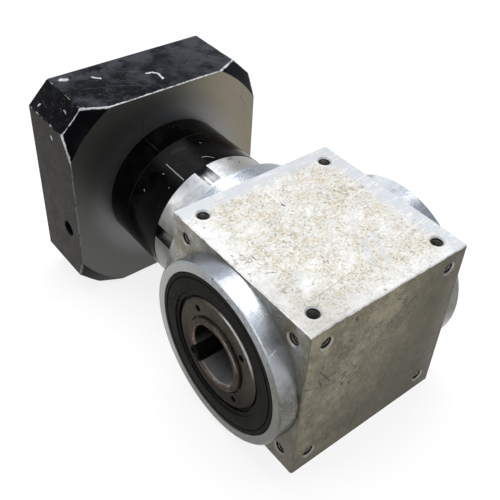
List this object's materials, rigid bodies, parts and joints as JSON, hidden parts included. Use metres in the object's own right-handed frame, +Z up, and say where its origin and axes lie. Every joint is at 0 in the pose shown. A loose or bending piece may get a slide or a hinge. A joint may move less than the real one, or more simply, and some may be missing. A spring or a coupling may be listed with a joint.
{
  "type": "right-angle bevel gearbox",
  "caption": "Cube-shaped right-angle bevel gearbox with a keyed hollow output shaft, notched input carrier, black coupling tube and square servo motor adapter.",
  "frame": {"origin": "centre of the hollow output bore, where the output and input axes cross, in the middle of the cube", "axes": "+X along the output bore towards the near shaft end, -Y along the input towards the motor, +Z up through the top face"},
  "size_m": [0.14, 0.2463, 0.14],
  "materials": {
    "housing": "fine machined bright metal with a tan bloom and pale scratches",
    "shaft_steel": "turned steel, browned by handling and light rust",
    "gear_steel": "case-hardened and ground, oily",
    "bearing_steel": "ground bearing steel",
    "cage_steel": "pressed sheet steel",
    "spring_steel": "phosphated spring steel",
    "seal_rubber": "moulded dark grey nitrile rubber with fine hairlines",
    "o_ring_rubber": "black nitrile rubber",
    "carrier_steel": "bright turned steel",
    "black_screw": "black oxide",
    "hub_aluminium": "turned aluminium",
    "spider_rubber": "red polyurethane",
    "black_anodised": "glossy black anodised with scratches",
    "adapter_anodised": "worn black anodised, front face turned bare"
  },
  "bodies": {
    "case": {"gear_housing": "housing", "near_bearing_outer_ring": "bearing_steel", "far_bearing_outer_ring": "bearing_steel", "bearing_shims": "spring_steel", "bore_retaining_rings": "spring_steel", "near_shaft_seal": "seal_rubber", "far_shaft_seal": "seal_rubber", "bearing_carrier": "carrier_steel", "carrier_screws": "black_screw", "carrier_o_ring": "o_ring_rubber", "head_bearing_outer_ring": "bearing_steel", "tail_bearing_outer_ring": "bearing_steel", "input_seal": "seal_rubber", "coupling_housing": "black_anodised", "adapter_ring": "black_anodised", "motor_adapter": "adapter_anodised", "tube_screws": "black_screw"},
    "output": {"hollow_shaft": "shaft_steel", "far_sleeve": "shaft_steel", "bevel_wheel": "gear_steel", "wheel_dowels": "bearing_steel", "near_bearing_inner_ring": "bearing_steel", "far_bearing_inner_ring": "bearing_steel"},
    "input": {"pinion_shaft": "gear_steel", "head_bearing_inner_ring": "bearing_steel", "tail_bearing_inner_ring": "bearing_steel", "seal_sleeve": "bearing_steel", "lock_washer": "spring_steel", "lock_nut": "black_screw", "pinion_hub": "hub_aluminium", "pinion_hub_screw": "black_screw", "coupling_spider": "spider_rubber", "motor_hub": "hub_aluminium", "motor_hub_screw": "black_screw"},
    "near_roller_set": {"near_bearing_rollers": "bearing_steel", "near_bearing_cage": "cage_steel"},
    "far_roller_set": {"far_bearing_rollers": "bearing_steel", "far_bearing_cage": "cage_steel"},
    "head_roller_set": {"head_bearing_rollers": "bearing_steel", "head_bearing_cage": "cage_steel"},
    "tail_roller_set": {"tail_bearing_rollers": "bearing_steel", "tail_bearing_cage": "cage_steel"}
  },
  "joints": [
    {"name": "output_spin", "type": "hinge", "parent": "case", "child": "output", "pos_m": [0, 0, 0], "axis": [1, 0, 0], "continuous": true},
    {"name": "input_spin", "type": "hinge", "parent": "case", "child": "input", "pos_m": [0, 0, 0], "axis": [0, 1, 0], "continuous": true},
    {"name": "near_rollers_orbit", "type": "hinge", "parent": "case", "child": "near_roller_set", "pos_m": [0, 0, 0], "axis": [1, 0, 0], "continuous": true},
    {"name": "far_rollers_orbit", "type": "hinge", "parent": "case", "child": "far_roller_set", "pos_m": [0, 0, 0], "axis": [1, 0, 0], "continuous": true},
    {"name": "head_rollers_orbit", "type": "hinge", "parent": "case", "child": "head_roller_set", "pos_m": [0, 0, 0], "axis": [0, 1, 0], "continuous": true},
    {"name": "tail_rollers_orbit", "type": "hinge", "parent": "case", "child": "tail_roller_set", "pos_m": [0, 0, 0], "axis": [0, 1, 0], "continuous": true}
  ],
  "couplings": [
    {"joint": "input_spin", "follows": "output_spin", "ratio": 2},
    {"joint": "near_rollers_orbit", "follows": "output_spin", "ratio": 0.4634},
    {"joint": "far_rollers_orbit", "follows": "output_spin", "ratio": 0.4634},
    {"joint": "head_rollers_orbit", "follows": "output_spin", "ratio": 0.867},
    {"joint": "tail_rollers_orbit", "follows": "output_spin", "ratio": 0.8594}
  ]
}
